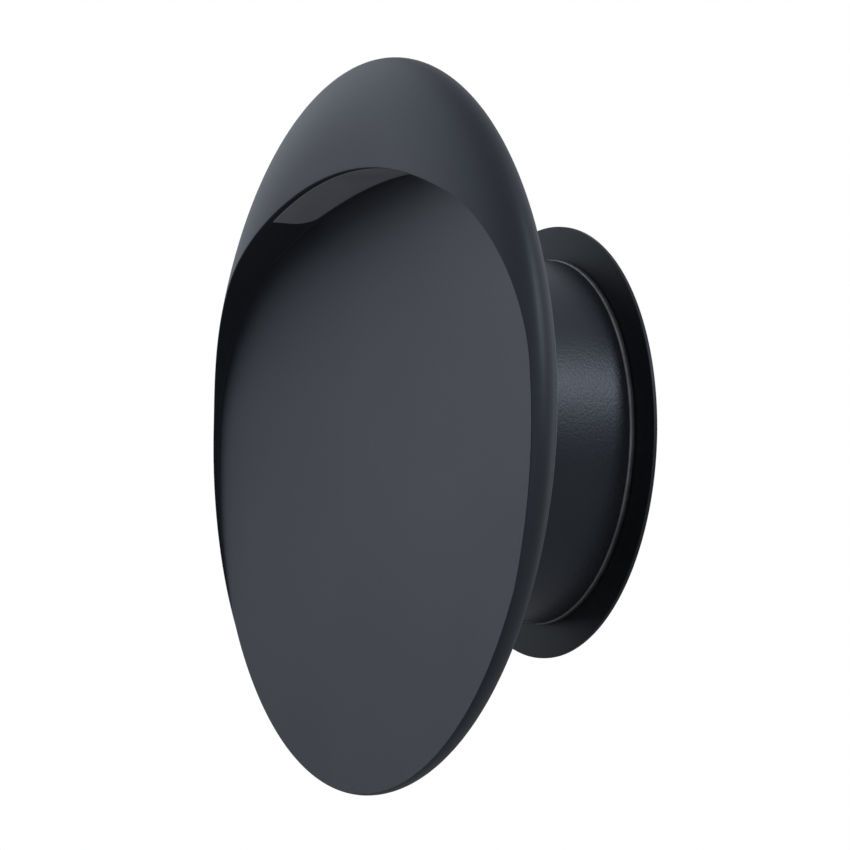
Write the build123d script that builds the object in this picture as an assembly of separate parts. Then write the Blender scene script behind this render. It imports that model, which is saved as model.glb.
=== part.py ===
from build123d import *
import math
import os

# Round outdoor wall light: a disc head with a crescent hood, a short drum neck and a wall flange.
# Millimetres. The origin is the middle of the wall side, on the neck's axis. The wall is the
# plane Y = 0, the light stands out of it along -Y, X points right and Z up.
# The head's own shapes are drawn about its centre, with Y = 0 on the plane of the dish's edge.

# Sheet, casting and fit values used by several pieces
fit_gap = 0.2            # loose fit of a piece in its seat
run_gap = 0.4            # seam between the turning head and the neck
pivot_gap = 0.05         # running fit of the pivot tube, and of the washers that slide
screw_gap = 0.2          # clearance of a screw in a through hole, on the radius
m4_radius = 1.95
m4_head_radius = 3.9
m4_head_height = 1.3
m3_radius = 1.45
m3_head_radius = 2.7
m3_head_height = 1.7
m25_radius = 1.2
m25_head_radius = 2.3
m25_head_height = 1.4
screw_bite = 2.0         # how far short screws go into their thread

# Wall side
gasket_thick = 1.0
gasket_outer_radius = 64.5
gasket_inner_radius = 55.0
flange_radius = 66.2
flange_thick = 1.2
flange_to_dish = 65.25   # from the flange's wall side to the plane of the dish's edge
collar_length = 13.0
collar_thick = 1.1
seam_ring_thick = 2.2
seam_ring_proud = 0.3
flange_edge_round = 0.25

# Neck
neck_radius = 55.7
neck_wall = 2.2
neck_front_wall = 4.0
neck_edge_round = 0.8

# Bracket inside the neck
bracket_thick = 2.0
bracket_half_width = 12.0
bracket_half_length = 50.0
ear_thick = 1.8
ear_length = 14.0
ear_screw_back = 9.0     # how far the fixing screws stand off the wall
slot_spacing = 60.0
slot_width = 5.0
slot_length = 14.0
entry_radius = 9.5
entry_lead_radius = 4.0
earth_height = 17.0

# Head outside
head_radius = 110.0
head_rise = 2.4          # head centre above the neck's axis
face_forward = 7.5       # front face ahead of the plane of the dish's edge
widest_back = 3.5        # widest ring behind that plane
front_round_width = 28.0
rear_round_width = 38.0
rear_round_depth = 14.0
seam_inset = 9.1         # seam between casting and rear shell, in from the widest ring
plateau_margin = 6.3     # flat middle of the rear shell, beyond the neck
plateau_back = 22.0
shell_bulge = 2.0        # rise of the rear shell's arc above its chord
shell_wall = 2.5
shell_land = 4.8         # width of the shell's edge on its gasket
shell_gasket_thick = 0.6
shell_edge_step = 0.3

# Dish and hood
dish_edge_back = 2.0     # dish edge at the bottom, behind its plane
dish_middle_depth = 5.5
dish_top_depth = 9.7     # depth under the middle of the arch
dish_wall = 2.8
arch_radius = 171.0
hood_height = 34.9       # head's top above the middle of the arch
arch_corner_radius = 63.0
recess_margin = 1.35     # the recess's own circle is this much smaller than the head
recess_drop = 2.0        # and this far below its centre
casting_land = 4.9       # width of the casting's edge on the gasket
skin_land = 12.0         # from the cavity's side to the end of the flat dish back
hood_wall = 2.8
hood_front_wall = 2.0

# Light window under the hood
window_half_width = 50.0
window_back = 11.3
window_back_radius = 330.0  # the rear edge follows the foot of the arch
window_corner_radius = 7.0
window_ledge = 7.0
window_back_ledge = 1.5
window_flange_front = 1.6  # flange edge behind the hood's inner front
window_thick = 1.5
window_sunk = 0.3
window_gasket_thick = 0.5
window_screw_along = 54.0

# Light board in the hood
board_half_length = 34.0
board_width = 11.5
board_thick = 1.6
board_above_arch = 10.7
board_front = -1.0
pad_thick = 0.5
shelf_thick = 3.0
shelf_half_length = 36.0
chip_count = 7
chip_pitch = 8.0
chip_size = 3.0
chip_height = 0.7
board_screw_along = 29.0

# Rear shell screws
shell_screw_inset = 12.0 # from the cavity's side to a screw
shell_screw_angles = (45, 135, 195, 270, 345)
shell_boss_radius = 5.0
shell_boss_back = 14.0
shell_screw_seat = 16.0
shell_screw_tip = 8.5

# Pivot
tube_radius = 10.0
tube_bore_radius = 6.5
tube_flange_radius = 16.0
tube_flange_thick = 2.5
tube_past_nut = 2.2
tube_flat = 9.0          # flat on the tube that keys the stop washer
friction_thick = 1.0
friction_radius = 24.0
wave_thick = 1.2
wave_radius = 15.3
stop_washer_thick = 1.2
stop_washer_radius = 15.5
stop_tab_radius = 20.0
stop_tab_width = 2.5
stop_pin_radius = 2.0
stop_pin_at = 18.0
stop_pin_past = 3.4
nut_thick = 6.0
nut_flats = 27.0
seal_radius = 34.0
seal_section = 0.9
seal_gap = 0.35

# Driver, terminals and leads
driver_half_width = 26.0
driver_top = -21.0
driver_height = 24.0
driver_depth = 18.6
driver_ear = 7.0
driver_ear_thick = 2.5
driver_ear_height = 9.0
terminal_half_width = 18.0
terminal_bottom = 24.0
terminal_height = 15.0
terminal_depth = 13.0
terminal_pitch = 9.0
terminal_mount_at = 14.8
terminal_well_radius = 2.6
terminal_well_depth = 6.0
terminal_screw_radius = 2.2
terminal_screw_height = 3.2
terminal_foot = 3.0      # thickness under the two mounting screws
lead_radius = 1.1
led_lead_radius = 0.9
lead_past_nut = 8.0      # supply leads pass this far beyond the nut's flats
lead_rise = 3.0          # and this much nearer the wall than the terminals
lead_meet_gap = 0.3

# Places worked out from the values above
seam_radius = head_radius - seam_inset
cavity_radius = seam_radius - casting_land
plateau_radius = neck_radius + plateau_margin
shell_screw_radius = cavity_radius - shell_screw_inset
arch_top = head_radius - hood_height
recess_radius = head_radius - recess_margin
board_height = arch_top + board_above_arch
flange_back_y = -gasket_thick
flange_front_y = flange_back_y - flange_thick
neck_back_y = flange_front_y - seam_ring_thick
dish_y = flange_back_y - flange_to_dish
plateau_y = dish_y + plateau_back
neck_front_y = plateau_y + run_gap
neck_inner_y = neck_front_y + neck_front_wall
neck_inner_radius = neck_radius - neck_wall
collar_outer_radius = neck_inner_radius - fit_gap
collar_inner_radius = collar_outer_radius - collar_thick
friction_back_y = plateau_y + friction_thick
wave_back_y = neck_inner_y + wave_thick
stop_washer_front_y = wave_back_y + pivot_gap
stop_washer_back_y = stop_washer_front_y + stop_washer_thick
nut_back_y = stop_washer_back_y + nut_thick
tube_back_y = nut_back_y + tube_past_nut
front_flat_radius = head_radius - front_round_width
front_round_depth = face_forward + widest_back
rear_centre_radius = head_radius - rear_round_width
seam_part = (seam_radius - rear_centre_radius) / rear_round_width
seam_back = widest_back + rear_round_depth * math.sqrt(1 - seam_part**2)
shell_edge_back = seam_back + shell_gasket_thick
skin_back = dish_edge_back + dish_top_depth + dish_wall
arch_centre = arch_top - arch_radius
hood_front_y = -face_forward + hood_front_wall
window_front = hood_front_y - fit_gap
window_lip = window_gasket_thick + 0.7
shelf_bottom = board_height + board_thick + pad_thick
pivot_drop = -head_rise

HEAD = Pos(0, dish_y, head_rise)


def plate(sketch, front, back):
    """A sketch in X and Z made solid between two depths, front being the smaller Y."""
    return extrude(Plane.XZ.offset(-back) * sketch, back - front, dir=(0, -1, 0))


def disc(radius, front, back, x=0.0, z=0.0):
    return plate(Pos(x, z) * Circle(radius), front, back)


def tube(outer, inner, front, back, x=0.0, z=0.0):
    return disc(outer, front, back, x, z) - disc(inner, front, back, x, z)


def block(x0, x1, y0, y1, z0, z1):
    return Pos((x0 + x1) / 2, (y0 + y1) / 2, (z0 + z1) / 2) * Box(x1 - x0, y1 - y0, z1 - z0)


def turned(*edges):
    """A closed profile of radius against Y, turned about the Y axis."""
    return revolve(make_face(Curve() + list(edges)), Axis.Y)


def wire_along(points, radii, radius):
    """A round lead along straight runs joined by tangent arcs."""
    path = FilletPolyline(*points, radius=radii)
    start = Plane(origin=path @ 0, z_dir=path % 0)
    return sweep(start * Circle(radius), path=path)


def pan_screw(radius, head_radius_, head_height, length):
    """A screw along Z: the head stands on Z = 0 and the shank points down."""
    shank = Pos(0, 0, -length / 2) * Cylinder(radius, length)
    head = Pos(0, 0, head_height / 2) * Cylinder(head_radius_, head_height)
    slot = Pos(0, 0, head_height) * Box(head_radius_ * 1.3, radius * 0.4, head_height)
    return shank + head - slot


# Dish and hood tools, drawn about the head's centre

def dish_depth(x, z):
    """Depth of the dish behind its plane: flat at the round edge, deepest under the arch."""
    top = arch_top / head_radius
    middle = head_radius / dish_middle_depth
    fall = (middle - head_radius * (1 - top**2) / dish_top_depth) / top
    u, w = x / head_radius, z / head_radius
    return dish_edge_back + head_radius * (1 - u * u - w * w) / (middle - fall * w)


def dish_face(shift):
    """The dish's curved floor as one smooth face, moved back by shift."""
    reach = head_radius * 1.08
    top = arch_top + hood_wall + 1.5
    steps = 16
    rows = []
    for i in range(steps + 1):
        z = -reach + (top + reach) * i / steps
        row = []
        for k in range(steps + 1):
            x = -reach + 2 * reach * k / steps
            row.append((x, dish_depth(x, z) + shift, z))
        rows.append(row)
    return Face.make_surface_from_array_of_points(rows, tol=0.005, min_deg=3, max_deg=5)


def arc_about(centre, radius, start, end):
    """An arc between two headings, counted from straight up towards +X."""
    return CenterArc(centre, radius, 90 - end, end - start)


def recess_outline():
    """Three tangent arcs: the arch, a corner on each side and the recess's own circle."""
    to_arch = arch_radius - arch_corner_radius
    to_circle = recess_radius - arch_corner_radius
    corner_z = (to_arch**2 - to_circle**2 - arch_centre**2 + recess_drop**2) / (
        -2 * (recess_drop + arch_centre))
    corner_x = math.sqrt(to_circle**2 - (corner_z + recess_drop)**2)
    shoulder = math.degrees(math.atan2(corner_x, corner_z - arch_centre))
    side = math.degrees(math.atan2(corner_x, corner_z + recess_drop))
    edges = [
        arc_about((0, arch_centre), arch_radius, -shoulder, shoulder),
        arc_about((corner_x, corner_z), arch_corner_radius, shoulder, side),
        arc_about((0, -recess_drop), recess_radius, side, 360 - side),
        arc_about((-corner_x, corner_z), arch_corner_radius, -side, -shoulder),
    ]
    return make_face(Curve() + edges)


def above_arch(extra, drop=0.0):
    """Plane figure of everything higher than the arch, raised by extra."""
    wide = head_radius * 1.1
    sheet = Pos(0, head_radius * 0.8 - drop) * Rectangle(2 * wide, head_radius)
    return sheet - Pos(0, arch_centre) * Circle(arch_radius + extra)


def arch_band(low, high):
    """A band that follows the arch between two heights above it."""
    reach = head_radius
    ring = Circle(arch_radius + high) - Circle(arch_radius + low)
    return plate(Pos(0, arch_centre) * ring, -reach, reach) & block(
        -reach, reach, -reach, reach, 0, reach)


def window_figure(half_width, front, back):
    """Outline of the light window in X and Y: an arched rear edge with two rounded corners."""
    rear_y = back - window_back_radius
    corner_x = half_width - window_corner_radius
    inner = window_back_radius - window_corner_radius
    corner_y = rear_y + math.sqrt(inner**2 - corner_x**2)
    heading = math.degrees(math.atan2(corner_x, corner_y - rear_y))
    sides = Polyline((half_width, corner_y), (half_width, front), (-half_width, front),
                     (-half_width, corner_y))
    edges = [
        arc_about((0, rear_y), window_back_radius, -heading, heading),
        arc_about((corner_x, corner_y), window_corner_radius, heading, 90),
        sides,
        arc_about((-corner_x, corner_y), window_corner_radius, -90, -heading),
    ]
    return make_face(Curve() + edges)


def window_prism(half_width, front, back):
    return extrude(window_figure(half_width, front, back), head_radius, dir=(0, 0, 1))


def head_ring_points(radius, angles):
    return [(radius * math.cos(math.radians(a)), radius * math.sin(math.radians(a)))
            for a in angles]


# Head pieces

def head_casting():
    front = EllipticalCenterArc((front_flat_radius, widest_back), front_round_width,
                                front_round_depth, 270, arc_size=90)
    rear_end = math.degrees(math.acos(seam_part))
    rear = EllipticalCenterArc((rear_centre_radius, widest_back), rear_round_width,
                               rear_round_depth, 0, arc_size=rear_end)
    skin_radius = cavity_radius - skin_land
    outer = turned(
        Line((0, -face_forward), (front_flat_radius, -face_forward)),
        front,
        rear,
        Polyline((seam_radius, seam_back), (skin_radius, seam_back),
                 (skin_radius, skin_back), (0, skin_back)),
        Line((0, skin_back), (0, -face_forward)),
    )
    for x, z in head_ring_points(shell_screw_radius, shell_screw_angles):
        outer += disc(shell_boss_radius, 0, shell_boss_back, x, z)
    reach = head_radius
    scoop = plate(recess_outline(), -reach, reach) & extrude(dish_face(0), reach, dir=(0, -1, 0))
    behind = extrude(dish_face(dish_wall), reach, dir=(0, 1, 0))
    cavity = behind & disc(cavity_radius, -reach, reach)
    for x, z in head_ring_points(shell_screw_radius, shell_screw_angles):
        cavity -= disc(shell_boss_radius, -reach, shell_boss_back, x, z)
    cavity -= plate(above_arch(0), -reach, reach)
    inner_round = EllipticalCenterArc((front_flat_radius, widest_back),
                                      front_round_width - hood_front_wall,
                                      front_round_depth - hood_front_wall, 270, arc_size=90)
    pocket = turned(
        Line((0, hood_front_y), inner_round @ 0),
        inner_round,
        Polyline(inner_round @ 1, (inner_round @ 1 + (0, reach)), (0, reach), (0, hood_front_y)),
    )
    pocket &= disc(cavity_radius, hood_front_y, reach)
    pocket &= plate(above_arch(hood_wall), -reach, reach)
    wall_top = plate(above_arch(0) - above_arch(hood_wall), skin_back, reach)
    shelf = block(-shelf_half_length, shelf_half_length, hood_front_y - 0.5,
                  board_front + board_width, shelf_bottom, shelf_bottom + shelf_thick)
    body = outer - scoop - cavity - pocket - wall_top + (shelf & outer)
    opening = window_prism(window_half_width, window_front, window_back)
    body -= opening & arch_band(-0.5, hood_wall + window_lip)
    for x, z in head_ring_points(shell_screw_radius, shell_screw_angles):
        body -= disc(m4_radius, shell_screw_tip, reach, x, z)
    for side in (-1, 1):
        body -= Pos(side * board_screw_along, board_front + board_width / 2, board_height) * (
            Cylinder(m3_radius, shelf_thick * 4))
        body -= window_screw_place(side) * Cylinder(m25_radius, 2 * hood_wall - 0.4)
    return body


def rear_shell():
    outer_edge = (seam_radius - shell_edge_step, shell_edge_back)
    outer_top = (plateau_radius, plateau_back)
    inner_edge = (outer_edge[0] - shell_land, shell_edge_back)
    inner_top = (plateau_radius - shell_wall, plateau_back - shell_wall)
    shell = turned(
        SagittaArc(outer_edge, outer_top, -shell_bulge),
        Polyline(outer_top, (0, plateau_back), (0, plateau_back - shell_wall), inner_top),
        SagittaArc(inner_edge, inner_top, -shell_bulge),
        Line(inner_edge, outer_edge),
    )
    boss_front = shell_boss_back + fit_gap
    form = turned(
        SagittaArc(outer_edge, outer_top, -shell_bulge),
        Polyline(outer_top, (0, plateau_back), (0, boss_front), (outer_edge[0], boss_front),
                 outer_edge),
    )
    for x, z in head_ring_points(shell_screw_radius, shell_screw_angles):
        shell += disc(shell_boss_radius + 1.2, boss_front, plateau_back, x, z) & form
        shell -= disc(m4_radius + screw_gap, boss_front - 1, plateau_back, x, z)
        shell -= disc(m4_head_radius + screw_gap, shell_screw_seat, plateau_back, x, z)
    shell -= disc(tube_radius + fit_gap / 2, 0, plateau_back + 1, 0, pivot_drop)
    return shell


def rear_gasket():
    outer = seam_radius - shell_edge_step
    return tube(outer, outer - shell_land, seam_back, shell_edge_back)


def rear_screws():
    screws = []
    screw = Rot(-90, 0, 0) * pan_screw(m4_radius, m4_head_radius, m4_head_height,
                                       shell_screw_seat - shell_screw_tip)
    for x, z in head_ring_points(shell_screw_radius, shell_screw_angles):
        screws.append(Pos(x, shell_screw_seat, z) * screw)
    return screws


def window_screw_place(side):
    """Top of the window's flange at one screw, with Z square to the arch."""
    lean = math.degrees(math.asin(window_screw_along / arch_radius))
    middle = (hood_front_y + window_back) / 2
    return Pos(0, middle, arch_centre) * Rot(0, side * lean, 0) * Pos(
        0, 0, arch_radius + hood_wall)


def window():
    back = window_back + window_back_ledge
    seat = hood_wall + window_gasket_thick
    tongue = window_prism(window_half_width - fit_gap, window_front + fit_gap,
                          window_back - fit_gap) & arch_band(window_sunk, seat + 0.5)
    flange = window_prism(window_half_width + window_ledge, hood_front_y + window_flange_front,
                          back) & arch_band(seat, seat + window_thick)
    pane = tongue + flange
    for side in (-1, 1):
        pane -= window_screw_place(side) * Cylinder(m25_radius + screw_gap, 4 * window_thick)
    return pane


def window_gasket():
    back = window_back + window_back_ledge
    ring = window_prism(window_half_width + window_ledge, hood_front_y + window_flange_front,
                        back)
    ring -= window_prism(window_half_width, hood_front_y - 1, window_back)
    ring &= arch_band(hood_wall, hood_wall + window_gasket_thick)
    for side in (-1, 1):
        ring -= window_screw_place(side) * Cylinder(m25_radius + screw_gap, 4 * window_thick)
    return ring


def window_screws():
    lift = window_gasket_thick + window_thick
    screw = pan_screw(m25_radius, m25_head_radius, m25_head_height, lift + hood_wall - 0.6)
    return [window_screw_place(side) * Pos(0, 0, lift) * screw for side in (-1, 1)]


def board_blank(bottom, thick, margin):
    return block(-board_half_length + margin, board_half_length - margin, board_front + margin,
                 board_front + board_width - margin, bottom, bottom + thick)


def board_screw_holes(radius):
    middle = board_front + board_width / 2
    return [Pos(side * board_screw_along, middle, board_height) * Cylinder(radius, 20)
            for side in (-1, 1)]


def led_board():
    board = board_blank(board_height, board_thick, 0)
    for hole in board_screw_holes(m3_radius + screw_gap):
        board -= hole
    return board


def thermal_pad():
    pad = board_blank(board_height + board_thick, pad_thick, 0.5)
    for hole in board_screw_holes(m3_radius + screw_gap):
        pad -= hole
    return pad


def led_chips():
    chips = []
    middle = board_front + board_width / 2
    for k in range(chip_count):
        x = (k - (chip_count - 1) / 2) * chip_pitch
        chips.append(block(x - chip_size / 2, x + chip_size / 2, middle - chip_size / 2,
                           middle + chip_size / 2, board_height - chip_height, board_height))
    return chips


def board_screws():
    middle = board_front + board_width / 2
    length = board_thick + pad_thick + screw_bite
    screw = Rot(180, 0, 0) * pan_screw(m3_radius, m3_head_radius, m3_head_height, length)
    return [Pos(side * board_screw_along, middle, board_height) * screw for side in (-1, 1)]


def led_lead_head():
    """Lead from inside the pivot tube, up behind the dish and over the arch to the board."""
    meet = led_lead_meet_y() - lead_meet_gap - dish_y
    board_mid = board_height + board_thick / 2
    board_back = board_front + board_width
    behind_dish = skin_back + led_lead_radius + fit_gap
    points = [
        (0, meet, pivot_drop),
        (0, plateau_back - shell_wall - tube_flange_thick - 3.0, pivot_drop),
        (0, skin_back - 0.5, pivot_drop + 44),
        (0, behind_dish, arch_top - 6),
        (0, behind_dish, arch_top + hood_wall + 1.0),
        (0, board_back + 3.0, board_mid),
        (0, board_back, board_mid),
    ]
    return wire_along(points, [2.6, 20.0, 20.0, 3.0, 2.0], led_lead_radius)


# Pivot pieces, in the part's own frame

def tube_key():
    """What the keyed flat takes off the tube's side."""
    return block(tube_flat, tube_flat + tube_radius, neck_inner_y, 0, -tube_radius, tube_radius)


def pivot_tube():
    shell_inner = plateau_y - shell_wall
    body = disc(tube_flange_radius, shell_inner - tube_flange_thick, shell_inner)
    body += disc(tube_radius, shell_inner, tube_back_y)
    body -= disc(tube_bore_radius, shell_inner - tube_flange_thick, tube_back_y)
    return body - tube_key()


def friction_washer():
    return tube(friction_radius, tube_radius + fit_gap, plateau_y,
                friction_back_y - pivot_gap)


def wave_washer():
    return tube(wave_radius, tube_radius + fit_gap, neck_inner_y, wave_back_y)


def stop_washer():
    washer = disc(stop_washer_radius, stop_washer_front_y, stop_washer_back_y)
    washer += block(-stop_tab_width / 2, stop_tab_width / 2, stop_washer_front_y,
                    stop_washer_back_y, 0, stop_tab_radius)
    return washer - (disc(tube_radius, stop_washer_front_y, stop_washer_back_y) - tube_key())


def stop_pin():
    return disc(stop_pin_radius, neck_inner_y - neck_front_wall / 2,
                neck_inner_y + stop_pin_past, 0, -stop_pin_at)


def pivot_nut():
    hexagon = RegularPolygon(nut_flats / 2, 6, major_radius=False)
    nut = plate(hexagon, stop_washer_back_y, nut_back_y)
    return nut - disc(tube_radius, stop_washer_back_y, nut_back_y)


def tube_seal():
    shell_inner = plateau_y - shell_wall
    return tube(tube_bore_radius, led_lead_radius, shell_inner - tube_flange_thick, shell_inner)


def face_seal():
    middle = plateau_y + seal_gap + seal_section
    return Pos(0, middle, 0) * Rot(90, 0, 0) * Torus(seal_radius, seal_section)


# Neck and wall pieces

def fixing_screw(side):
    """Countersunk screw through neck and collar into a bracket ear, above or below."""
    top = neck_radius - 0.3
    cone = 2 * m4_radius - m4_radius
    shank_length = top - cone - (bracket_half_length - ear_thick - 2)
    head = Pos(0, 0, top - cone / 2) * Cone(m4_radius, 2 * m4_radius, cone)
    shank = Pos(0, 0, top - cone - shank_length / 2) * Cylinder(m4_radius, shank_length)
    slot = Pos(0, 0, top) * Box(m4_radius * 2.6, m4_radius * 0.4, 1.2)
    flip = Rot(0, 0 if side > 0 else 180, 0)
    return Pos(0, -ear_screw_back, 0) * flip * (head + shank - slot)


def countersinks():
    tools = []
    for side in (-1, 1):
        flip = Rot(0, 0 if side > 0 else 180, 0)
        cone = m4_radius
        top = neck_radius - 0.3
        sink = Pos(0, 0, top - cone / 2) * Cone(m4_radius, 2 * m4_radius, cone)
        sink += Pos(0, 0, top + 1) * Cylinder(2 * m4_radius, 2)
        hole = Pos(0, 0, top - 5) * Cylinder(m4_radius + screw_gap, 10)
        tools.append(Pos(0, -ear_screw_back, 0) * flip * (sink + hole))
    return tools


def neck_drum():
    drum = disc(neck_radius, neck_front_y, neck_back_y)
    drum = fillet(drum.edges().group_by(Axis.Y)[0], neck_edge_round)
    drum -= disc(neck_inner_radius, neck_inner_y, neck_back_y)
    drum -= disc(friction_radius + fit_gap, neck_front_y, friction_back_y)
    drum -= disc(tube_radius + pivot_gap, neck_front_y, neck_inner_y)
    groove_back = plateau_y + seal_gap + 2 * seal_section
    drum -= tube(seal_radius + seal_section + fit_gap, seal_radius - seal_section - fit_gap,
                 neck_front_y, groove_back)
    drum -= disc(stop_pin_radius, neck_inner_y - neck_front_wall / 2, neck_inner_y,
                 0, -stop_pin_at)
    for x, z in driver_screw_points() + terminal_screw_points():
        drum -= disc(m3_radius, neck_inner_y - neck_front_wall / 2, neck_inner_y, x, z)
    for tool in countersinks():
        drum -= tool
    return drum


def seam_ring():
    ring = disc(neck_radius + seam_ring_proud, neck_back_y, flange_front_y)
    ring = fillet(ring.edges().filter_by(GeomType.CIRCLE), seam_ring_thick * 0.45)
    return ring - disc(collar_outer_radius + fit_gap, neck_back_y, flange_front_y)


def wall_flange():
    flange = disc(flange_radius, flange_front_y, flange_back_y)
    flange = fillet(flange.edges().group_by(Axis.Y)[0], flange_edge_round)
    flange += disc(collar_outer_radius, flange_back_y - collar_length, flange_back_y)
    flange -= disc(collar_inner_radius, flange_back_y - collar_length, flange_back_y)
    for side in (-1, 1):
        flange -= Pos(0, -ear_screw_back, side * collar_outer_radius) * (
            Cylinder(m4_radius + screw_gap, 8))
    return flange


def wall_gasket():
    return tube(gasket_outer_radius, gasket_inner_radius, flange_back_y, 0)


def mounting_bracket():
    figure = Rectangle(2 * bracket_half_width, 2 * bracket_half_length)
    figure -= Circle(entry_radius)
    for side in (-1, 1):
        figure -= Pos(0, side * slot_spacing / 2) * SlotOverall(slot_length, slot_width,
                                                                rotation=90)
    figure -= Pos(bracket_half_width / 2, earth_height) * Circle(m4_radius)
    bracket = plate(figure, -bracket_thick, 0)
    for side in (-1, 1):
        z0, z1 = sorted((side * bracket_half_length, side * (bracket_half_length - ear_thick)))
        ear = block(-bracket_half_width, bracket_half_width, -ear_length, 0, z0, z1)
        ear -= Pos(0, -ear_screw_back, side * bracket_half_length) * Cylinder(m4_radius, 8)
        bracket += ear
    return bracket


def cable_grommet():
    lip = entry_radius + 2.2
    body = disc(lip, -bracket_thick - 1.4, -bracket_thick) + disc(entry_radius, -bracket_thick, 0)
    return body - disc(entry_lead_radius, -bracket_thick - 1.4, 0)


def earth_washer():
    return tube(4.2, m4_radius + screw_gap, -bracket_thick - 0.6, -bracket_thick,
                bracket_half_width / 2, earth_height)


def earth_screw():
    seat = -bracket_thick - 0.6
    screw = Rot(90, 0, 0) * pan_screw(m4_radius, 3.6, 2.2, 0.6 + bracket_thick)
    return Pos(bracket_half_width / 2, seat, earth_height) * screw


def terminal_screw_points():
    z = terminal_bottom + terminal_height / 2
    return [(side * terminal_mount_at, z) for side in (-1, 1)]


def terminal_block():
    back = neck_inner_y + terminal_depth
    middle = terminal_bottom + terminal_height / 2
    body = block(-terminal_half_width, terminal_half_width, neck_inner_y, back,
                 terminal_bottom, terminal_bottom + terminal_height)
    body = fillet(body.edges().filter_by(Axis.Y), 1.2)
    for k in (-1, 0, 1):
        body -= disc(terminal_well_radius, back - terminal_well_depth, back,
                     k * terminal_pitch, middle)
    for x, z in terminal_screw_points():
        body -= disc(m3_radius + screw_gap, neck_inner_y, back, x, z)
        body -= disc(m3_head_radius + screw_gap, neck_inner_y + terminal_foot, back, x, z)
    return body


def terminal_screws():
    seat = neck_inner_y + terminal_depth - terminal_well_depth
    top = seat + terminal_screw_height
    r = terminal_screw_radius
    z = terminal_bottom + terminal_height / 2
    screws = []
    for k in (-1, 0, 1):
        x = k * terminal_pitch
        slot = block(x - 0.9 * r, x + 0.9 * r, top - 0.35 * r, top + r, z - 0.2 * r, z + 0.2 * r)
        screws.append(disc(r, seat, top, x, z) - slot)
    return screws


def terminal_mount_screws():
    length = terminal_foot + neck_front_wall / 2
    screw = Rot(-90, 0, 0) * pan_screw(m3_radius, m3_head_radius, m3_head_height, length)
    seat = neck_inner_y + terminal_foot
    return [Pos(x, seat, z) * screw for x, z in terminal_screw_points()]


def driver_screw_points():
    z = driver_top - driver_height / 2
    return [(side * (driver_half_width + driver_ear / 2), z) for side in (-1, 1)]


def driver_case():
    case = block(-driver_half_width, driver_half_width, neck_inner_y, neck_inner_y + driver_depth,
                 driver_top - driver_height, driver_top)
    case = fillet(case.edges().filter_by(Axis.Y), 2.0)
    case = fillet(case.edges().group_by(Axis.Y)[-1], 1.0)
    for x, z in driver_screw_points():
        inner = (driver_half_width - 1) * (1 if x > 0 else -1)
        outer = (driver_half_width + driver_ear) * (1 if x > 0 else -1)
        x0, x1 = sorted((inner, outer))
        case += block(x0, x1, neck_inner_y, neck_inner_y + driver_ear_thick,
                      z - driver_ear_height / 2, z + driver_ear_height / 2)
        case -= disc(m3_radius + screw_gap, neck_inner_y, neck_inner_y + driver_ear_thick, x, z)
    return case


def driver_screws():
    length = driver_ear_thick + neck_front_wall / 2
    screw = Rot(-90, 0, 0) * pan_screw(m3_radius, m3_head_radius, m3_head_height, length)
    return [Pos(x, neck_inner_y + driver_ear_thick, z) * screw for x, z in driver_screw_points()]


def supply_leads():
    """Two leads from the terminals, past the pivot nut on each side, to the driver's top."""
    y = neck_inner_y + terminal_depth / 2
    wide = nut_flats / 2 + lead_past_nut
    leads = []
    for side in (-1, 1):
        points = [
            (side * terminal_pitch, y, terminal_bottom),
            (side * terminal_pitch, y, terminal_bottom - 5),
            (side * wide, y + lead_rise, terminal_bottom - 14),
            (side * wide, y + lead_rise, driver_top + 14),
            (side * (wide - 7), y, driver_top + 5),
            (side * (wide - 7), y, driver_top),
        ]
        leads.append(wire_along(points, [4.0, 5.0, 5.0, 4.0], lead_radius))
    return leads


def earth_lead():
    """Lead from the middle terminal back to the earth screw on the bracket."""
    y = neck_inner_y + terminal_depth / 2
    x_end = bracket_half_width / 2
    head_y = -bracket_thick - 0.6 - 2.2
    points = [
        (0, y, terminal_bottom),
        (0, y, terminal_bottom - 4),
        (x_end / 2, y + 12, terminal_bottom - 6),
        (x_end, head_y - 7, earth_height),
        (x_end, head_y, earth_height),
    ]
    return wire_along(points, [2.6, 5.0, 4.0], lead_radius)


def led_lead_meet_y():
    """Where the two halves of the low-voltage lead meet inside the pivot tube."""
    return (neck_inner_y + tube_back_y) / 2


def led_lead_neck():
    """Lead from the driver's top, round onto the pivot axis and into the tube."""
    y = neck_inner_y + driver_depth - 2.5
    points = [(0, y, driver_top), (0, y, 0), (0, led_lead_meet_y(), 0)]
    return wire_along(points, [8.0], led_lead_radius)


def save(name, solid, place=None):
    """Write one node: a solid, or a group of separate solids."""
    pieces = solid if isinstance(solid, list) else [solid]
    if place is not None:
        pieces = [place * piece for piece in pieces]
    solids = []
    for piece in pieces:
        solids.extend(piece.solids())
    shape = solids[0] if len(solids) == 1 else Compound(children=solids)
    shape.label = name
    export_step(shape, f"parts/{name}.step")


head_pieces = {
    "head_casting": head_casting,
    "rear_shell": rear_shell,
    "rear_gasket": rear_gasket,
    "rear_screws": rear_screws,
    "window": window,
    "window_gasket": window_gasket,
    "window_screws": window_screws,
    "led_board": led_board,
    "led_chips": led_chips,
    "thermal_pad": thermal_pad,
    "board_screws": board_screws,
    "led_lead_head": led_lead_head,
}

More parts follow.
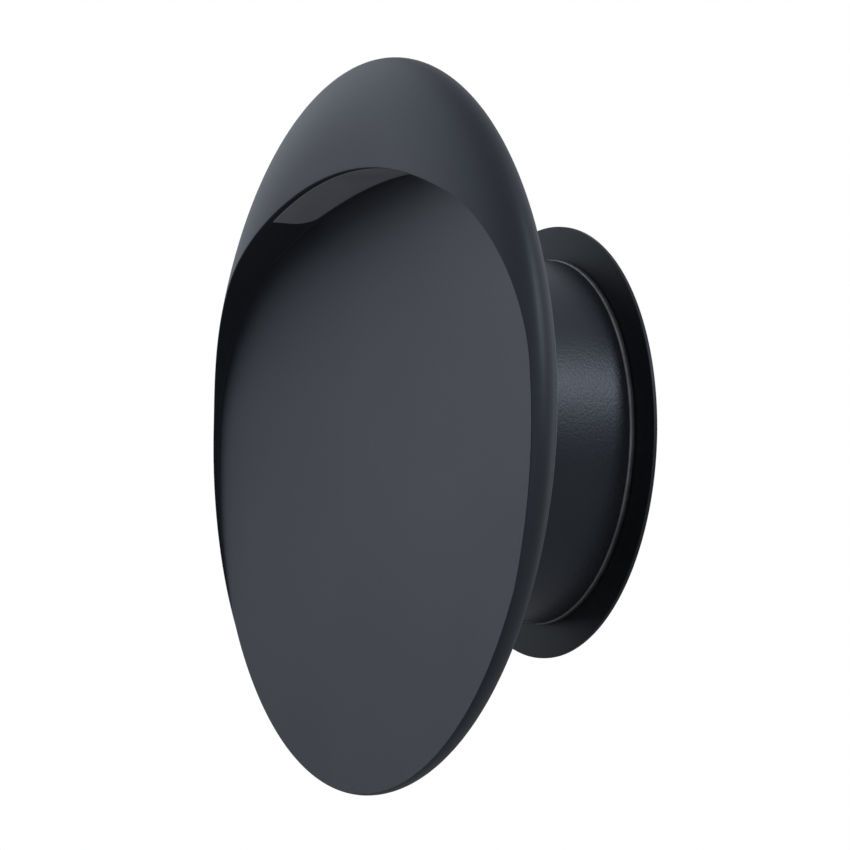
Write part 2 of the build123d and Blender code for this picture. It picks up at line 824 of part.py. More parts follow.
frame_pieces = {
    "pivot_tube": pivot_tube,
    "pivot_nut": pivot_nut,
    "stop_washer": stop_washer,
    "friction_washer": friction_washer,
    "tube_seal": tube_seal,
    "wave_washer": wave_washer,
    "stop_pin": stop_pin,
    "face_seal": face_seal,
    "neck_drum": neck_drum,
    "seam_ring": seam_ring,
    "wall_flange": wall_flange,
    "wall_gasket": wall_gasket,
    "mounting_bracket": mounting_bracket,
    "cable_grommet": cable_grommet,
    "earth_washer": earth_washer,
    "earth_screw": earth_screw,
    "terminal_block": terminal_block,
    "terminal_screws": terminal_screws,
    "terminal_mount_screws": terminal_mount_screws,
    "driver_case": driver_case,
    "driver_screws": driver_screws,
    "supply_leads": supply_leads,
    "earth_lead": earth_lead,
    "led_lead_neck": led_lead_neck,
}

os.makedirs("parts", exist_ok=True)
for name, make in head_pieces.items():
    save(name, make(), HEAD)
for name, make in frame_pieces.items():
    save(name, make())
save("fixing_screws", [fixing_screw(1), fixing_screw(-1)])
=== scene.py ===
import math
import bmesh
import bpy
import numpy as np
from mathutils import Matrix, Vector


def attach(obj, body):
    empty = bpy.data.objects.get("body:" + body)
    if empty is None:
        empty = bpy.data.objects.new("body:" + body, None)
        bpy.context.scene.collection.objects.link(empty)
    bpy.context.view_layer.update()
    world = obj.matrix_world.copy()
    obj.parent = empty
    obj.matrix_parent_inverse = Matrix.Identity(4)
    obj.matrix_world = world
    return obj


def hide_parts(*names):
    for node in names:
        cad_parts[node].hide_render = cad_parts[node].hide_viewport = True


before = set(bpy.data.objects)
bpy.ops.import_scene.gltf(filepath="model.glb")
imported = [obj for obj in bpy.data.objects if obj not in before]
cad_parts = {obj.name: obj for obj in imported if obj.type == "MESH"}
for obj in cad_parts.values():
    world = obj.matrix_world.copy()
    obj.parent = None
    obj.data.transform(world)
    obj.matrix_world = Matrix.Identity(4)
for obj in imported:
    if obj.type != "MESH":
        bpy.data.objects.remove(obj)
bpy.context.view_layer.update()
print("frame loaded")

mm = 0.001

# Shapes are worked out in millimetres. Those of the head are drawn about its own centre, with
# y = 0 on the plane that its depths are measured from, and are then moved by headPlace.
headPlace = np.array([0.0, -66.25, 2.4])


# Meshes from grids

meshing = {
    "mergeWithin": 2e-7,             # metres
    "shortestEdge": 1e-8,
}


def gridFaces(rows, cols, drop):
    # Quads of a grid of rows by cols points whose last column joins the first, without the
    # cells that drop marks.
    index = np.arange(rows * cols).reshape(rows, cols)
    index = np.hstack([index, index[:, :1]])
    quads = np.stack([index[:-1, :-1], index[1:, :-1], index[1:, 1:], index[:-1, 1:]], axis=-1)
    return quads.reshape(-1, 4) if drop is None else quads[~drop]


def makeMesh(name, grids, sharpAngle, material, body, node, place=(0, 0, 0)):
    # grids: (points as rows x cols x 3 in mm, cells to drop). Doubles are merged, so poles and
    # shared edges close, and normals are then made to point outwards.
    verts, faces, start = [], [], 0
    for points, drop in grids:
        rows, cols = points.shape[:2]
        verts.append((points.reshape(-1, 3) + place) * mm)
        faces.append(gridFaces(rows, cols, drop) + start)
        start += rows * cols
    mesh = bpy.data.meshes.new(name)
    mesh.from_pydata(np.vstack(verts).tolist(), [], np.vstack(faces).tolist())
    work = bmesh.new()
    work.from_mesh(mesh)
    bmesh.ops.remove_doubles(work, verts=work.verts, dist=meshing["mergeWithin"])
    bmesh.ops.dissolve_degenerate(work, edges=work.edges, dist=meshing["shortestEdge"])
    bmesh.ops.recalc_face_normals(work, faces=work.faces)
    work.to_mesh(mesh)
    work.free()
    mesh.shade_smooth()
    mesh.set_sharp_from_angle(angle=math.radians(sharpAngle))
    mesh.materials.append(material)
    piece = bpy.data.objects.new(name, mesh)
    bpy.context.scene.collection.objects.link(piece)
    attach(piece, body)
    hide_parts(node)
    print(name, len(mesh.polygons), "faces")


def bezier(a, b, c, count=6):
    # Quadratic Bezier curve from a to c with b between, (1 - t)^2 a + 2 t (1 - t) b + t^2 c,
    # where a, b and c are single points or whole rows of them.
    a, b, c = (np.array(p, float) for p in (a, b, c))
    t = np.linspace(0, 1, count).reshape(-1, *[1] * b.ndim)
    return (1 - t) ** 2 * a + 2 * t * (1 - t) * b + t ** 2 * c


def turned(profile, around):
    # A profile of (radius, y) rows turned about the y axis: radius cos(a), y, radius sin(a).
    angle = np.linspace(0, 2 * np.pi, around, endpoint=False)
    radius, y = np.asarray(profile, float).T
    return np.stack([radius[:, None] * np.cos(angle), y[:, None] + 0 * angle,
                     radius[:, None] * np.sin(angle)], axis=-1)


def roundedProfile(corners, count=7):
    # A closed run of (radius, y, rounding): each corner with a rounding becomes a Bezier curve
    # that leaves the straight sides at that distance.
    points = np.array([c[:2] for c in corners], float)
    out = []
    for i, (_, _, leg) in enumerate(corners):
        here, before, after = points[i], points[i - 1], points[(i + 1) % len(points)]
        if leg > 0:
            a = here + (before - here) / np.linalg.norm(before - here) * leg
            b = here + (after - here) / np.linalg.norm(after - here) * leg
            out.extend(bezier(a, here, b, count))
        else:
            out.append(here)
    return np.array(out + out[:1])


# Materials

class Socket:
    # A node's output with plus and times, each adding one Math node.
    def __init__(self, tree, link):
        self.tree, self.link = tree, link

    def maths(self, operation, a, b):
        return self.tree.node("ShaderNodeMath", {"operation": operation}, {0: a, 1: b})

    def __add__(self, other):
        return self.maths("ADD", self, other)

    def __radd__(self, other):
        return self.maths("ADD", other, self)

    def __mul__(self, other):
        return self.maths("MULTIPLY", self, other)

    def __rmul__(self, other):
        return self.maths("MULTIPLY", other, self)


class Shading:
    # The node tree of a material or of the world. node() adds one node from its type, its
    # settings and the values or links of its sockets.
    def __init__(self, owner):
        owner.use_nodes = True
        self.owner = owner
        self.nodes, self.links = owner.node_tree.nodes, owner.node_tree.links
        self.nodes.clear()

    def node(self, kind, settings, inputs, output=0):
        made = self.nodes.new(kind)
        for key, value in settings.items():
            if key == "stops":
                for element, (place, level) in zip(made.color_ramp.elements, value):
                    element.position, element.color = place, (level, level, level, 1)
            else:
                setattr(made, key, value)
        for key, value in inputs.items():
            if isinstance(value, Socket):
                self.links.new(value.link, made.inputs[key])
            else:
                made.inputs[key].default_value = value
        return Socket(self, made.outputs[output]) if made.outputs else None

    def coordinates(self):
        return self.node("ShaderNodeTexCoord", {}, {}, "Object")

    def ray(self, kind):
        return self.node("ShaderNodeLightPath", {}, {}, kind)

    def noise(self, where, scale, detail, rough):
        return self.node("ShaderNodeTexNoise", {}, {
            "Vector": where, "Scale": scale, "Detail": detail, "Roughness": rough}, "Fac")

    def ramp(self, value, low, high):
        # Black up to low, white from high.
        return self.node("ShaderNodeValToRGB", {"stops": [(low, 0.0), (high, 1.0)]}, {0: value})

    def mixColour(self, factor, a, b):
        return self.node("ShaderNodeMix", {"data_type": "RGBA"}, {
            "Factor": factor, 6: rgba(a), 7: rgba(b)}, 2)

    def bump(self, height, strength, distance):
        return self.node("ShaderNodeBump", {}, {
            "Height": height, "Strength": strength, "Distance": distance})

    def surface(self, inputs):
        shader = self.node("ShaderNodeBsdfPrincipled", {}, inputs)
        self.node("ShaderNodeOutputMaterial", {}, {"Surface": shader})
        return self.owner


def rgba(colour):
    return (*colour, 1.0)


# A noise is given by its scale, detail and roughness, and a bump by its strength and its height
# in metres.

coat = {
    "colour": (0.0162, 0.0172, 0.0195),
    "shade": (0.012, 0.013, 0.0148),
    "gloss": (0.73, 0.81, 1.0),      # the coat's reflections are a little blue
    "specular": 0.5,
    "roughness": (0.44, 0.56),
    "grain": (1150.0, 3.0, 0.55),    # grains of just under 1 mm
    "wave": (260.0, 2.0, 0.5),
    "waveShare": 0.25,               # of the bump
    "bump": (0.5, 0.00006),
    "patch": (22.0, 2.0, 0.5),       # slow changes of shade and gloss
    "patchShare": 0.7,               # of the shade
    "patchRange": (0.35, 0.65),
    "speck": (2400.0, 1.0, 0.5),     # fine changes of gloss
}
neckCoat = {**coat, "bump": (0.5, 0.00026), "roughness": (0.34, 0.46)}
flangeCoat = {**coat, "specular": 0.34}


def powderCoat(name, v):
    # Powder coat: the bump is grain plus wave, the shade patch plus grain, and the gloss patch
    # plus speck.
    m = Shading(bpy.data.materials.new(name))
    where = m.coordinates()
    grain, wave = m.noise(where, *v["grain"]), m.noise(where, *v["wave"])
    patch, speck = m.noise(where, *v["patch"]), m.noise(where, *v["speck"])
    height = grain * (1 - v["waveShare"]) + wave * v["waveShare"]
    blend = patch * v["patchShare"] + grain * (1 - v["patchShare"])
    low, high = v["roughness"]
    return m.surface({
        "Base Color": m.mixColour(m.ramp(blend, *v["patchRange"]), v["shade"], v["colour"]),
        "Roughness": (patch + speck) * ((high - low) / 2) + low,
        "Specular IOR Level": v["specular"],
        "Specular Tint": rgba(v["gloss"]),
        "Normal": m.bump(height, *v["bump"]),
    })


coatHead = powderCoat("powderCoatHead", coat)
coatNeck = powderCoat("powderCoatNeck", neckCoat)
coatFlange = powderCoat("powderCoatFlange", flangeCoat)

# Metals and plastics: dirt is how much darker the patches are, and spread how far the grain
# changes the roughness.

metals = {
    "metallic": 1.0,
    "grain": (900.0, 2.0, 0.6),
    "bump": (0.25, 0.00003),
    "spread": 0.2,
    "patch": (120.0, 3.0, 0.6),
    "patchRange": (0.4, 0.62),
    "dirt": 0.25,
    "kinds": {                       # colour and roughness
        "ringMetal": ((0.2, 0.2, 0.205), 0.5),
        "stainless": ((0.55, 0.55, 0.54), 0.36),
        "zincSteel": ((0.5, 0.52, 0.53), 0.42),
        "brassMetal": ((0.62, 0.44, 0.18), 0.35),
    },
}

plastics = {
    "metallic": 0.0,
    "grain": (1500.0, 2.0, 0.5),
    "bump": (0.3, 0.00004),
    "spread": 0.16,
    "patch": (60.0, 2.0, 0.5),
    "patchRange": (0.35, 0.65),
    "dirt": 0.14,
    "kinds": {
        "opalWindow": ((0.27, 0.265, 0.29), 0.5),
        "jointBlack": ((0.02, 0.02, 0.021), 0.7),
        "siliconeGrey": ((0.14, 0.14, 0.145), 0.6),
        "rubberBlack": ((0.022, 0.022, 0.023), 0.75),
        "plasticBlack": ((0.03, 0.03, 0.03), 0.5),
        "plasticWhite": ((0.72, 0.72, 0.7), 0.5),
        "terminalWhite": ((0.76, 0.75, 0.72), 0.4),
        "boardWhite": ((0.78, 0.79, 0.78), 0.4),
        "chipYellow": ((0.72, 0.52, 0.1), 0.35),
        "leadBlack": ((0.02, 0.02, 0.02), 0.45),
        "leadBrown": ((0.16, 0.06, 0.025), 0.45),
        "leadGreen": ((0.08, 0.26, 0.05), 0.45),
    },
}


def plainFinish(name, v, colour, roughness):
    # Metal or plastic: darker patches, and a fine grain in the gloss and the bump.
    m = Shading(bpy.data.materials.new(name))
    where = m.coordinates()
    grain = m.noise(where, *v["grain"])
    patch = m.ramp(m.noise(where, *v["patch"]), *v["patchRange"])
    dark = tuple(c * (1 - v["dirt"]) for c in colour)
    return m.surface({
        "Base Color": m.mixColour(patch, dark, colour),
        "Metallic": v["metallic"],
        "Roughness": grain * v["spread"] + (roughness - v["spread"] / 2),
        "Normal": m.bump(grain, *v["bump"]),
    })


finishes = {}
for family in (metals, plastics):
    for name, look in family["kinds"].items():
        finishes[name] = plainFinish(name, family, *look)

# The inner pieces keep their own meshes and get a finish each
nodeFinishes = {
    "stainless": ("rear_screws", "window_screws", "board_screws", "pivot_tube", "pivot_nut",
                  "stop_washer", "wave_washer", "stop_pin", "terminal_mount_screws",
                  "driver_screws", "fixing_screws"),
    "zincSteel": ("mounting_bracket", "earth_washer"),
    "brassMetal": ("earth_screw", "terminal_screws"),
    "siliconeGrey": ("rear_gasket", "thermal_pad"),
    "rubberBlack": ("tube_seal", "face_seal", "cable_grommet"),
    "plasticBlack": ("friction_washer",),
    "plasticWhite": ("driver_case",),
    "terminalWhite": ("terminal_block",),
    "boardWhite": ("led_board",),
    "chipYellow": ("led_chips",),
    "leadBlack": ("led_lead_head", "led_lead_neck"),
    "leadBrown": ("supply_leads",),
    "leadGreen": ("earth_lead",),
}
for name, nodeNames in nodeFinishes.items():
    for nodeName in nodeNames:
        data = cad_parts[nodeName].data
        data.materials.clear()
        data.materials.append(finishes[name])
print("materials made")


# Head: dish, hood and rim as one surface, rows from the dish's middle out and round to the back

head = {
    "radius": 110.0,
    "faceForward": 7.5,              # flat face ahead of y = 0
    "widestBack": 3.5,               # widest ring behind it
    "frontRound": (28.0, 11.0),      # width and depth of the front quarter ellipse
    "rearRound": (38.0, 14.0),       # and of the rear one
    "seamRadius": 100.9,             # where the casting meets the rear shell
    "seamEdge": 0.5,                 # small rounding there
    "landRadius": 96.0,              # inner side of the rear shell's seat
    "skinRadius": 84.0,              # the dish's skin, which stands back inside the rear shell
    "skinBack": 14.5,
    "dishEdgeBack": 2.0,             # the dish at the head's radius, behind y = 0
    "dishMiddleDepth": 5.5,          # how much deeper it is in the middle
    "dishTopDepth": 9.7,             # and at the top of the arch
    "archRadius": 171.0,
    "archTop": 75.1,
    "cornerRadius": 63.0,
    "recessRadius": 108.65,          # the recess's own circle, a little below the head's centre
    "recessDrop": 2.0,
    "footFillet": 0.12,              # curve at the foot of the recess's wall
    "edgeRound": 0.4,                # curve at the wall's top
    "edgeShift": 0.15,               # spread of the two where the wall runs out
    "fadeHeight": 1.2,               # height of wall over which that spread fades
    "leastFoot": 0.3,                # reach of each curve where there is no wall
    "leastEdge": 0.45,
    "limbGap": 0.01,                 # the front's first row stays this far inside the radius
    "sharpAngle": 50.0,
    "around": 720,
    "rows": {"floor": 34, "curve": 7, "wall": 12, "front": 26, "rear": 14, "seam": 5},
    "outlinePoints": 400,
    "halvings": 40,
}


def dishDepth(x, z):
    # Depth behind y = 0, with u and w the place over the head's radius: edge back +
    # radius (1 - u^2 - w^2) / (middle - fall w), which grows towards the arch.
    top = head["archTop"] / head["radius"]
    middle = head["radius"] / head["dishMiddleDepth"]
    fall = (middle - head["radius"] * (1 - top ** 2) / head["dishTopDepth"]) / top
    u, w = x / head["radius"], z / head["radius"]
    return head["dishEdgeBack"] + head["radius"] * (1 - u * u - w * w) / (middle - fall * w)


def onFloor(radius, angle):
    # (radius, y) on the dish in each direction.
    return np.stack([radius, dishDepth(radius * np.cos(angle), radius * np.sin(angle))], -1)


def frontOf(t):
    # (radius, y) on the front: t below 0 runs on the flat face, 0 to pi/2 on the quarter ellipse
    # flat + width sin(t), widest - depth cos(t).
    width, depth = head["frontRound"]
    flat = head["radius"] - width
    radius = flat + width * np.where(t < 0, t, np.sin(np.clip(t, 0, None)))
    y = head["widestBack"] - depth * np.cos(np.clip(t, 0, None))
    return np.stack([radius, y + (depth - head["faceForward"] - head["widestBack"])], -1)


def frontAngle(radius):
    # The t at which the front has that radius.
    width = head["frontRound"][0]
    part = (radius - (head["radius"] - width)) / width
    return np.where(part < 0, part, np.arcsin(np.clip(part, 0, 1)))


def recessReach(angle):
    # Distance from the head's centre to the recess's outline in each direction. The outline is
    # three tangent arcs: the arch, a corner, and the recess's own circle round the rest.
    archCentre = head["archTop"] - head["archRadius"]
    toArch = head["archRadius"] - head["cornerRadius"]
    toCircle = head["recessRadius"] - head["cornerRadius"]
    drop = head["recessDrop"]
    cornerZ = toArch ** 2 - toCircle ** 2 - archCentre ** 2 + drop ** 2
    cornerZ /= -2 * (drop + archCentre)
    cornerX = math.sqrt(toCircle ** 2 - (cornerZ + drop) ** 2)
    shoulder = math.atan2(cornerX, cornerZ - archCentre)
    side = math.atan2(cornerX, cornerZ + drop)
    x, z = [], []
    for centreX, centreZ, radius, start, end in (
            (0, archCentre, head["archRadius"], 0, shoulder),
            (cornerX, cornerZ, head["cornerRadius"], shoulder, side),
            (0, -drop, head["recessRadius"], side, np.pi)):
        heading = np.linspace(start, end, head["outlinePoints"])
        x.append(centreX + radius * np.sin(heading))
        z.append(centreZ + radius * np.cos(heading))
    x, z = np.concatenate(x), np.concatenate(z)
    wanted = np.abs(np.arctan2(np.cos(angle), np.sin(angle)))
    return np.interp(wanted, np.arctan2(x, z), np.hypot(x, z))


def floorEnd(angle):
    # Radius at which the dish meets the rounded front, by halving the interval.
    low = np.full(angle.shape, head["radius"] - head["frontRound"][0])
    high = np.full(angle.shape, head["radius"])
    for _ in range(head["halvings"]):
        middle = (low + high) / 2
        inside = onFloor(middle, angle)[:, 1] > frontOf(frontAngle(middle))[:, 1]
        low, high = np.where(inside, middle, low), np.where(inside, high, middle)
    return (low + high) / 2


def makeHead():
    # Each row is (radius, y) in every direction: the dish, a curve up onto the recess's wall, the
    # wall, a curve onto the front, the front and rear quarter ellipses, the seam's edge and the
    # back. The rear ellipse is centre + width cos(u), widest + depth sin(u). The rows are then
    # turned about the y axis.
    rowCount = head["rows"]
    angle = np.linspace(0, 2 * np.pi, head["around"], endpoint=False)
    edge = np.minimum(recessReach(angle), floorEnd(angle))
    height = onFloor(edge, angle)[:, 1] - frontOf(frontAngle(edge))[:, 1]
    fade = np.clip(height / head["fadeHeight"], 0, 1)
    shift = head["edgeShift"] * (1 - fade * fade * (3 - 2 * fade))
    foot = onFloor(edge - shift, angle)
    topRadius = np.minimum(edge + shift, head["radius"] - 2 * head["limbGap"])
    top = np.stack([topRadius, frontOf(frontAngle(topRadius))[:, 1]], -1)
    wall = top - foot
    length = np.linalg.norm(wall, axis=1, keepdims=True)
    footUp = foot + wall / length * np.minimum(head["footFillet"], length / 3)
    topDown = top - wall / length * np.minimum(head["edgeRound"], length / 3)
    floorLeg = np.minimum(head["footFillet"], head["leastFoot"] + height)
    frontLeg = np.minimum(head["edgeRound"], head["leastEdge"] + height)
    before = onFloor(edge - shift - floorLeg, angle)
    startT = frontAngle(np.minimum(topRadius + frontLeg, head["radius"] - head["limbGap"]))
    ease = np.sin(np.linspace(0, np.pi / 2, rowCount["floor"]))[:, None]
    run = np.linspace(0, 1, rowCount["wall"])[1:, None, None]
    t = startT + (np.pi / 2 - startT) * np.linspace(0, 1, rowCount["front"])[1:, None]
    rows = [
        onFloor(ease * before[:, 0], angle),
        bezier(before, foot, footUp, rowCount["curve"])[1:],
        footUp + (topDown - footUp) * run,
        bezier(topDown, top, frontOf(startT), rowCount["curve"])[1:],
        frontOf(t),
    ]
    width, depth = head["rearRound"]
    centre = head["radius"] - width
    last = math.acos((head["seamRadius"] - centre) / width)
    u = np.linspace(0, last, rowCount["rear"])[1:-1]
    rear = np.stack([centre + width * np.cos(u), head["widestBack"] + depth * np.sin(u)], -1)
    corner = np.array([head["seamRadius"], head["widestBack"] + depth * math.sin(last)])
    slope = np.array([-width * math.sin(last), depth * math.cos(last)])
    slope /= np.linalg.norm(slope)
    seam = bezier(corner - slope * head["seamEdge"], corner, corner - [head["seamEdge"], 0],
                  rowCount["seam"])
    back = [(head["landRadius"], corner[1]), (head["skinRadius"], corner[1]),
            (head["skinRadius"], head["skinBack"]), (0.0, head["skinBack"])]
    rows.append(np.vstack([rear, seam, back])[:, None, :] + 0 * angle[None, :, None])
    profile = np.concatenate(rows)
    radius, y = profile[..., 0], profile[..., 1]
    points = np.stack([radius * np.cos(angle), y, radius * np.sin(angle)], -1)
    makeMesh("headCasting", [(points, None)], head["sharpAngle"], coatHead, "head",
             "head_casting", headPlace)


makeHead()


# Window: a slab that follows the arch, with a dark joint round it

window = {
    "halfWidth": 49.8,
    "front": -5.5,
    "back": 11.1,
    "backRadius": 330.0,             # the rear edge follows the foot of the recess's wall
    "cornerRadius": 7.0,
    "proud": 0.12,                   # how far it stands below the arch
    "edge": 0.35,                    # rounding of the lower edge
    "halfDepth": 8.0,                # turns that rounding into a share of the outline
    "thickness": 2.4,
    "jointWidth": 0.45,
    "jointLift": (1.0, -0.03),       # the joint's top and lower side above the arch
    "sharpAngle": 50.0,
    "jointSharpAngle": 40.0,
    "rows": {"face": 24, "edge": 6, "top": 6},
    "outlinePoints": 24,             # of a side, a corner or a quarter of a long edge
}


def windowOutline(halfWidth, wider):
    # Closed outline as (along the arch, y): straight front and sides, two rounded rear corners
    # and a slightly arched rear edge, all moved out by wider.
    def line(a, b, n):
        t = np.linspace(0, 1, n, endpoint=False)[:, None]
        return np.array(a) + (np.array(b) - np.array(a)) * t

    def arc(cx, cy, radius, start, end, n):
        t = np.linspace(start, end, n, endpoint=False)
        return np.stack([cx + radius * np.sin(t), cy + radius * np.cos(t)], -1)

    few, many = window["outlinePoints"], 4 * window["outlinePoints"]
    reach, corner = window["backRadius"], window["cornerRadius"] + wider
    side, front = halfWidth + wider, window["front"] - wider
    centre = window["back"] + wider - reach
    cornerX = side - corner
    cornerY = centre + math.sqrt((reach - corner) ** 2 - cornerX ** 2)
    heading = math.atan2(cornerX, cornerY - centre)
    return np.concatenate([
        line((-side, front), (side, front), many),
        line((side, front), (side, cornerY), few),
        arc(cornerX, cornerY, corner, np.pi / 2, heading, few),
        arc(0, centre, reach, heading, -heading, many),
        arc(-cornerX, cornerY, corner, -heading, -np.pi / 2, few),
        line((-side, cornerY), (-side, front), few),
    ])


def onArch(flat, lift):
    # (distance along the arch, y) and the height above the arch turned into x, y, z: the angle
    # is distance / arch radius, and the reach arch radius + height.
    along, y = flat[..., 0], flat[..., 1]
    angle = along / head["archRadius"]
    reach = head["archRadius"] + lift
    centre = head["archTop"] - head["archRadius"]
    return np.stack([reach * np.sin(angle), y + 0 * reach, centre + reach * np.cos(angle)], -1)


def makeWindow():
    # Rows are the outline shrunk towards its middle: the lower face from the middle out, the
    # rounded edge, the side, and the top face back in. The joint is a band round the outline.
    rowCount = window["rows"]
    halfAlong = math.asin(window["halfWidth"] / head["archRadius"]) * head["archRadius"]
    outline = windowOutline(halfAlong, 0.0)
    middle = np.array([0.0, (window["front"] + window["back"]) / 2])
    inset = 1 - window["edge"] / window["halfDepth"]
    turn = np.linspace(0, np.pi / 2, rowCount["edge"])[1:]
    share = np.concatenate([
        np.linspace(0, 1, rowCount["face"]) * inset,
        inset + (1 - inset) * np.sin(turn),
        [1.0, 1.0],
        np.linspace(1, 0, rowCount["top"])[1:],
    ])
    lift = np.concatenate([
        np.full(rowCount["face"], -window["proud"]),
        -window["proud"] + window["edge"] * (1 - np.cos(turn)),
        [window["edge"]],
        np.full(rowCount["top"], window["thickness"]),
    ])
    slab = onArch(middle + (outline - middle) * share[:, None, None],
                  lift[:, None] + 0 * outline[None, :, 0])
    makeMesh("lightWindow", [(slab, None)], window["sharpAngle"], finishes["opalWindow"], "head",
             "window", headPlace)
    outer = windowOutline(halfAlong, window["jointWidth"])
    up, down = window["jointLift"]
    band = onArch(np.stack([outline, outline, outer, outer, outline]),
                  np.array([up, down, down, up, up])[:, None] + 0 * outline[None, :, 0])
    makeMesh("windowJoint", [(band, None)], window["jointSharpAngle"], finishes["jointBlack"],
             "head", "window_gasket", headPlace)


makeWindow()


# Rear shell: a dome with counterbored screw holes, each hole a patch between a block of the
# polar grid and a circle

rearShell = {
    "edge": (100.6, 13.2),           # radius and y where the dome ends
    "flat": (62.0, 22.0),            # and where its flat middle ends
    "innerEdge": (95.8, 13.2),       # the same two of its inner side
    "innerFlat": (59.5, 19.5),
    "bulge": 2.0,                    # rise of the dome above a cone between them
    "boreRadius": 10.1,
    "flatRings": (20, 30, 40, 50, 57, 60),
    "screwRadius": 84.0,
    "screwAngles": (45, 135, 195, 270, 345),
    "counterbore": 4.1,
    "seat": 16.0,                    # y of its floor
    "holeRadius": 2.15,
    "holeDepth": 1.2,
    "edgeRound": 0.35,               # of the counterbore's lip
    "rimRound": 0.5,                 # of the dome's edge
    "block": (7.0, 7.5),             # half size of a hole's block, outwards and around
    "sharpAngle": 35.0,
    "around": 360,
    "rows": {"dome": 30, "inside": 12, "patch": 8, "lip": 5},
}


def arcBetween(a, b, rise, count):
    # Points of the circle arc from a to b that stands rise above the chord, to its left. Its
    # radius is (length^2 / 4 + rise^2) / (2 rise).
    a, b = np.array(a, float), np.array(b, float)
    chord = b - a
    length = np.linalg.norm(chord)
    radius = (length ** 2 / 4 + rise ** 2) / (2 * rise)
    normal = np.array([-chord[1], chord[0]]) / length
    centre = (a + b) / 2 - normal * (radius - rise)
    half = math.asin(length / 2 / radius)
    t = np.linspace(half, -half, count)[:, None]
    return centre + radius * (np.cos(t) * normal - np.sin(t) * chord / length)


def holePatch(loop, centre, radius, rows):
    # Rows that shrink a closed loop in a plane to a circle about centre, loop + t (circle -
    # loop), and the heading of each column.
    away = loop - centre
    turn = np.arctan2(away[:, 1], away[:, 0])
    circle = centre + radius * np.stack([np.cos(turn), np.sin(turn)], -1)
    t = np.linspace(0, 1, rows)[:, None, None]
    return loop + (circle - loop) * t, turn


def blockLoop(grid, i0, i1, j0, j1):
    # Grid points round the block of cells i0..i1 by j0..j1, in order.
    cols = grid.shape[1]
    j = np.arange(j0, j1 + 1) % cols
    return np.concatenate([grid[i0, j[:-1]], grid[i0:i1, j[-1]], grid[i1, j[::-1][:-1]],
                           grid[i0 + 1:i1 + 1, j[0]][::-1]])


def makeRearShell():
    # The outside is the dome's profile turned about the y axis, with a block of cells left out
    # at each screw. A patch of rows fills it, then the lip's quarter circle and the well.
    v, rowCount, around = rearShell, rearShell["rows"], rearShell["around"]
    angle = np.linspace(0, 2 * np.pi, around, endpoint=False)
    dome = arcBetween(v["flat"], v["edge"], v["bulge"], rowCount["dome"])

    def onDome(x, z, lower=0.0):
        # Inside the dome's first radius interp keeps its first height, so the middle is flat.
        y = np.interp(np.hypot(x, z), dome[:, 0], dome[:, 1])
        return np.stack([x, y - lower, z], -1)

    radii = np.concatenate([[v["boreRadius"]], v["flatRings"], dome[:-1, 0]])
    rows = np.stack([radii[:, None] * np.cos(angle), radii[:, None] * np.sin(angle)], -1)
    drop = np.zeros((len(radii) - 1, around), bool)
    deep, wide = v["block"]
    i0 = int(np.searchsorted(radii, v["screwRadius"] - deep)) - 1
    i1 = int(np.searchsorted(radii, v["screwRadius"] + deep))
    reach = int(round(math.degrees(wide / v["screwRadius"]) / 360 * around))
    swing = np.linspace(0, np.pi / 2, rowCount["lip"])[1:, None]
    lipRadius = v["counterbore"] + v["edgeRound"] * (1 - np.sin(swing))
    lipDrop = v["edgeRound"] * (1 - np.cos(swing))
    wellRadius = np.array([v["counterbore"], v["holeRadius"], v["holeRadius"], 0])[:, None]
    wellY = v["seat"] - np.array([0, 0, v["holeDepth"], v["holeDepth"]])[:, None]
    grids = []
    for degrees in v["screwAngles"]:
        j0 = int(round(degrees / 360 * around)) - reach
        drop[i0:i1, np.arange(j0, j0 + 2 * reach) % around] = True
        loop = blockLoop(rows, i0, i1, j0 % around, j0 % around + 2 * reach)
        turn = math.radians(degrees)
        centre = v["screwRadius"] * np.array([math.cos(turn), math.sin(turn)])
        patch, heading = holePatch(loop, centre, v["counterbore"] + v["edgeRound"],
                                   rowCount["patch"])
        lip = onDome(centre[0] + lipRadius * np.cos(heading),
                     centre[1] + lipRadius * np.sin(heading), lipDrop)
        well = np.stack([centre[0] + wellRadius * np.cos(heading), wellY + 0 * heading,
                         centre[1] + wellRadius * np.sin(heading)], -1)
        grids.append((np.concatenate([onDome(patch[..., 0], patch[..., 1]), lip, well]), None))
    edge = v["edge"]
    inside = turned(np.vstack([
        bezier(dome[-2], edge, (edge[0] - v["rimRound"], edge[1])),
        arcBetween(v["innerFlat"], v["innerEdge"], v["bulge"], rowCount["inside"])[::-1],
        [(v["boreRadius"], v["innerFlat"][1]), (v["boreRadius"], v["flat"][1])],
    ]), around)
    grids += [(onDome(rows[..., 0], rows[..., 1]), drop), (inside, None)]
    makeMesh("rearShell", grids, v["sharpAngle"], coatHead, "head",
             "rear_shell", headPlace)


makeRearShell()


# Neck: a cup with two countersunk holes, above and below

neck = {
    "radius": 55.7,
    "innerRadius": 53.5,
    "boreRadius": 10.05,
    "front": -43.85,
    "frontInner": -39.85,            # inner side of the front wall
    "back": -4.4,
    "frontRound": 0.8,
    "innerCorner": (1.0, 0.3),       # leg of the inner corner, and how far its curve stands in
    "innerRings": (40.0, 25.0),      # grid rows across the front wall, on its inner side
    "outerRing": 30.0,               # and on its outer side
    "screwBack": -9.0,
    "screwAngles": (90, 270),
    "sinkRadius": 3.9,               # countersink at its rim
    "sinkRim": 0.12,                 # the patch round it ends this far out
    "sinkFloor": 2.15,               # radius of its floor
    "sinkDepth": (0.3, 2.2),         # rim and floor below the neck's surface
    "block": (6.0, 4.3, 6.0),        # a hole's block: ahead, behind and around
    "sharpAngle": 35.0,
    "around": 360,
    "rows": {"side": 40, "patch": 6},
}


